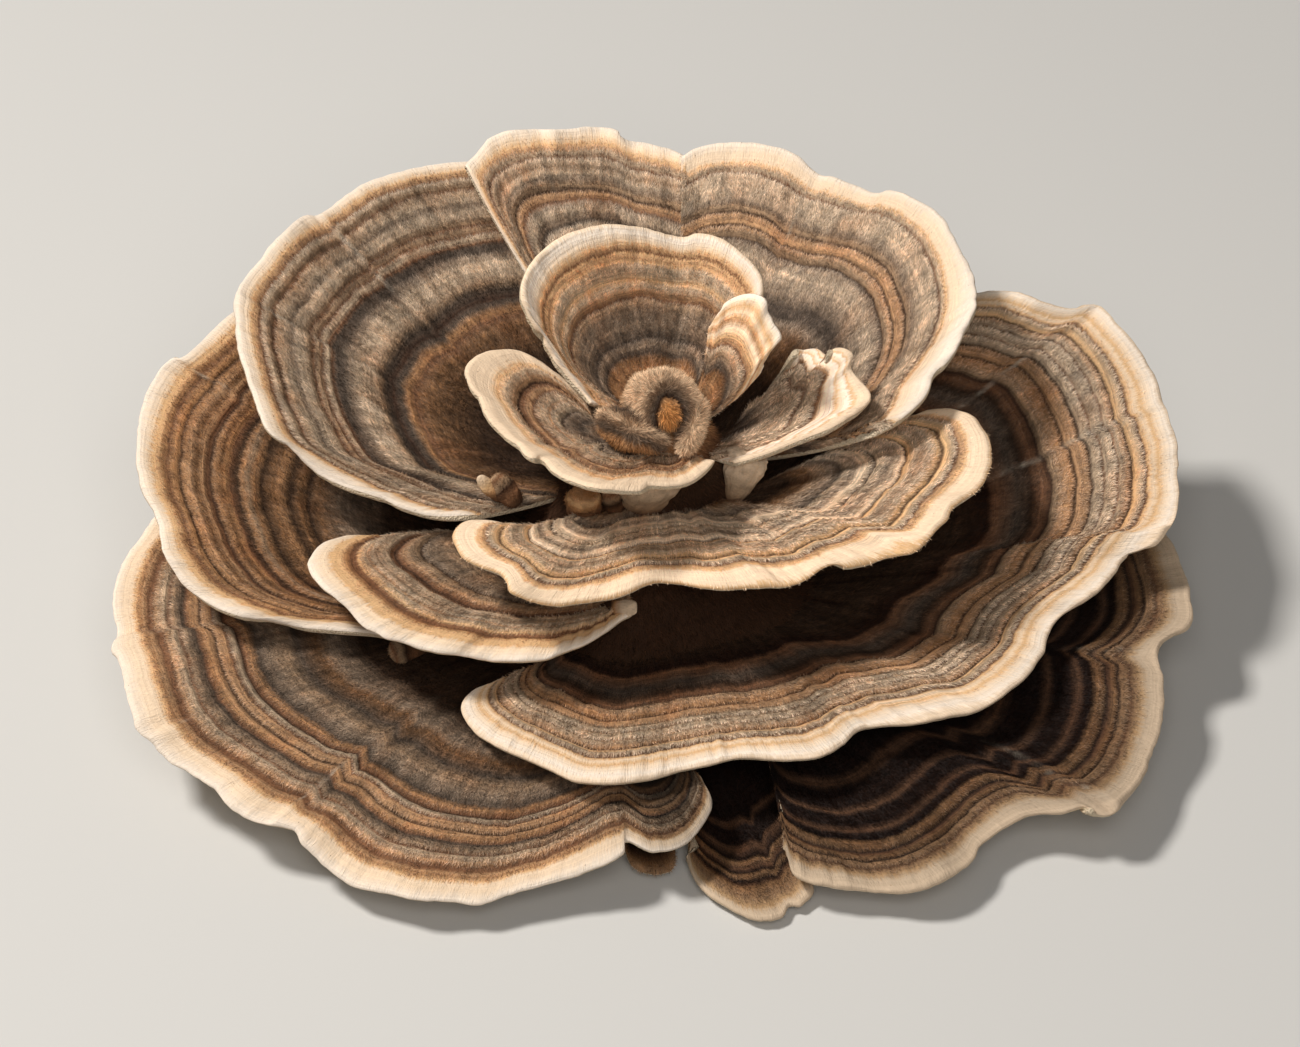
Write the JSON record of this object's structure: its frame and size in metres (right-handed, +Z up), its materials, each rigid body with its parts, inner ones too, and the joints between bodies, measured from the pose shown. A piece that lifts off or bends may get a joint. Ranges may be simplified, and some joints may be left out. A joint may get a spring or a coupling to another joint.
{
  "type": "turkey tail fungus",
  "caption": "Turkey tail bracket fungus: a rosette of thin, wavy, zoned velvety caps growing from one woody holdfast that is cut off flat.",
  "frame": {"origin": "in the flat cut face under the holdfast, below the middle of the rosette", "axes": "+Z up, square to the cut face; -Y towards the front of the rosette; +X to the right, along the rosette's width"},
  "size_m": [0.1353, 0.0979, 0.0551],
  "materials": {
    "holdfast_brown": "fuzzy dark brown",
    "bud_fuzz": "matt grey-brown fuzz",
    "back_left_cap_velvet": "zoned velvet above, pale pores below",
    "back_middle_cap_velvet": "zoned velvet above, pale pores below",
    "back_right_cap_velvet": "zoned velvet above, pale pores below",
    "inner_back_cap_velvet": "zoned velvet above, pale pores below",
    "inner_right_cap_velvet": "zoned velvet above, pale pores below",
    "inner_front_cap_velvet": "zoned velvet above, pale pores below",
    "inner_side_cap_velvet": "zoned velvet above, pale pores below",
    "upper_front_cap_velvet": "zoned velvet above, pale pores below",
    "front_left_cap_velvet": "zoned velvet above, pale pores below",
    "left_cap_velvet": "zoned velvet above, pale pores below",
    "lower_left_cap_velvet": "zoned velvet above, pale pores below",
    "large_right_cap_velvet": "zoned velvet above, pale pores below",
    "lower_right_cap_velvet": "zoned velvet above, pale pores below",
    "tongue_cap_velvet": "zoned velvet above, pale pores below",
    "hidden_cap_velvet": "zoned velvet above, pale pores below"
  },
  "bodies": {
    "root": {"holdfast": "holdfast_brown", "centre_bud": "bud_fuzz", "back_left_cap": "back_left_cap_velvet", "back_middle_cap": "back_middle_cap_velvet", "back_right_cap": "back_right_cap_velvet", "inner_back_cap": "inner_back_cap_velvet", "inner_right_cap": "inner_right_cap_velvet", "inner_front_cap": "inner_front_cap_velvet", "inner_side_cap": "inner_side_cap_velvet", "upper_front_cap": "upper_front_cap_velvet", "front_left_cap": "front_left_cap_velvet", "left_cap": "left_cap_velvet", "lower_left_cap": "lower_left_cap_velvet", "large_right_cap": "large_right_cap_velvet", "lower_right_cap": "lower_right_cap_velvet", "tongue_cap": "tongue_cap_velvet", "hidden_cap": "hidden_cap_velvet"}
  },
  "joints": []
}
